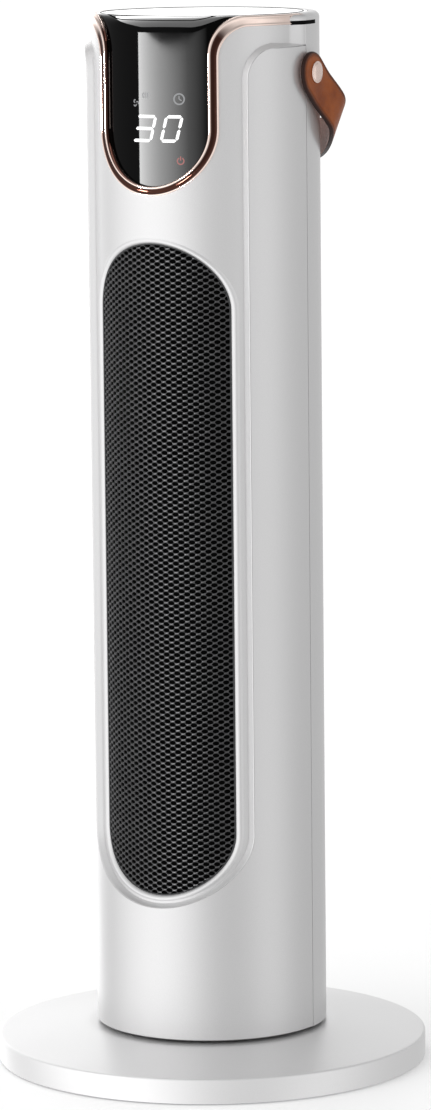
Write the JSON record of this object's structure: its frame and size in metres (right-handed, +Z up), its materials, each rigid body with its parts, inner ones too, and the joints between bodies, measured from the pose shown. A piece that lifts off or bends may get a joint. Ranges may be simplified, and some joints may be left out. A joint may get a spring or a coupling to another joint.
{
  "type": "ceramic space heater",
  "caption": "Round tower heater with a control glass above a tall oval outlet grille, turning on a disc base, with a leather strap handle at its back.",
  "frame": {"origin": "centre of the base's underside, on the surface that the heater stands on", "axes": "+Z up along the tower's axis, -Y towards the front with the grille and the control glass, +X to the right seen from behind the heater's front"},
  "size_m": [0.246, 0.246, 0.6],
  "materials": {
    "shell_silver": "satin silver paint on moulded plastic",
    "base_silver": "satin silver paint on moulded plastic",
    "rose_gold": "polished rose gold plating",
    "black_glass": "high gloss black, with lit figures behind it",
    "grille_black": "thin perforated sheet, semi-matt black",
    "grille_bead": "satin silver bead",
    "dark_plastic": "fine moulded texture",
    "duct_plastic": "plain moulded plastic",
    "white_acetal": "slippery moulded plastic",
    "rubber": "matt rubber",
    "cast_weight": "as cast, painted",
    "zinc_steel": "zinc plated pressed steel",
    "bright_steel": "ground steel",
    "fin_aluminium": "plain rolled strip",
    "stone_ceramic": "fired ceramic",
    "brass": "plain brass",
    "bronze": "sintered bronze",
    "board_green": "solder mask",
    "leather": "saddle brown with dark burnished edges and stitching"
  },
  "bodies": {
    "base": {"base_cover": "base_silver", "base_plate": "dark_plastic", "base_weight": "cast_weight", "rubber_feet": "rubber", "base_screws": "zinc_steel", "spindle": "bright_steel", "thrust_washer": "white_acetal", "snap_ring": "zinc_steel", "hub_gear": "white_acetal", "spindle_nut": "zinc_steel", "tip_switch": "dark_plastic"},
    "plunger": {"tip_plunger": "white_acetal"},
    "pinion": {"pinion_shaft": "bright_steel", "drive_pinion": "white_acetal"},
    "blower": {"motor_rotor": "bright_steel", "blower_shaft": "bright_steel", "blower_wheel": "duct_plastic"},
    "rocker": {"switch_rocker": "dark_plastic"},
    "handle": {"strap": "leather"},
    "tower": {"tower_floor": "dark_plastic", "floor_bush": "white_acetal", "drive_bracket": "zinc_steel", "drive_motor": "zinc_steel", "inner_frame": "zinc_steel", "motor_plate": "zinc_steel", "blower_motor": "zinc_steel", "upper_bush": "bronze", "scroll_housing": "duct_plastic", "air_stabiliser": "duct_plastic", "duct_bottom": "duct_plastic", "duct_top": "duct_plastic", "heater_frame": "dark_plastic", "ceramic_stones": "stone_ceramic", "heat_fins": "fin_aluminium", "heater_terminals": "brass", "thermal_cutout": "zinc_steel", "power_board": "board_green", "board_parts": "dark_plastic", "touch_board": "board_green", "digit_module": "duct_plastic", "buzzer": "dark_plastic", "front_panel": "shell_silver", "front_shell": "shell_silver", "rear_shell": "shell_silver", "outlet_grille": "grille_black", "grille_frame": "grille_bead", "control_glass": "black_glass", "trim_band": "rose_gold", "intake_grille": "shell_silver", "dust_filter": "dark_plastic", "service_panel": "dark_plastic", "switch_body": "dark_plastic", "cord_gland": "rubber", "shell_screws": "zinc_steel", "strap_studs": "rose_gold", "strap_washers": "rose_gold", "strap_nuts": "zinc_steel"}
  },
  "joints": [
    {"name": "oscillation", "type": "hinge", "parent": "base", "child": "tower", "pos_m": [0, 0, 0.023], "axis": [0, 0, 1], "range_deg": [-35, 35]},
    {"name": "pinion_spin", "type": "hinge", "parent": "tower", "child": "pinion", "pos_m": [0, -0.0375, 0.037], "axis": [0, 0, 1], "range_deg": [-140, 140]},
    {"name": "blower_spin", "type": "hinge", "parent": "tower", "child": "blower", "pos_m": [0, 0.018, 0.11], "axis": [0, 0, 1], "continuous": true},
    {"name": "mains_switch", "type": "hinge", "parent": "tower", "child": "rocker", "pos_m": [0, 0.0585, 0.07], "axis": [1, 0, 0], "range_deg": [0, 18]},
    {"name": "tip_over_switch", "type": "slide", "parent": "base", "child": "plunger", "axis": [0, 0, -1], "range_m": [0, 0.0035], "stiffness_N_per_m": 150, "springref_m": 0.012},
    {"name": "handle_swing", "type": "hinge", "parent": "tower", "child": "handle", "pos_m": [0, 0.005, 0.567], "axis": [1, 0, 0], "range_deg": [0, 132]}
  ],
  "couplings": [
    {"joint": "pinion_spin", "follows": "oscillation", "ratio": 4}
  ]
}
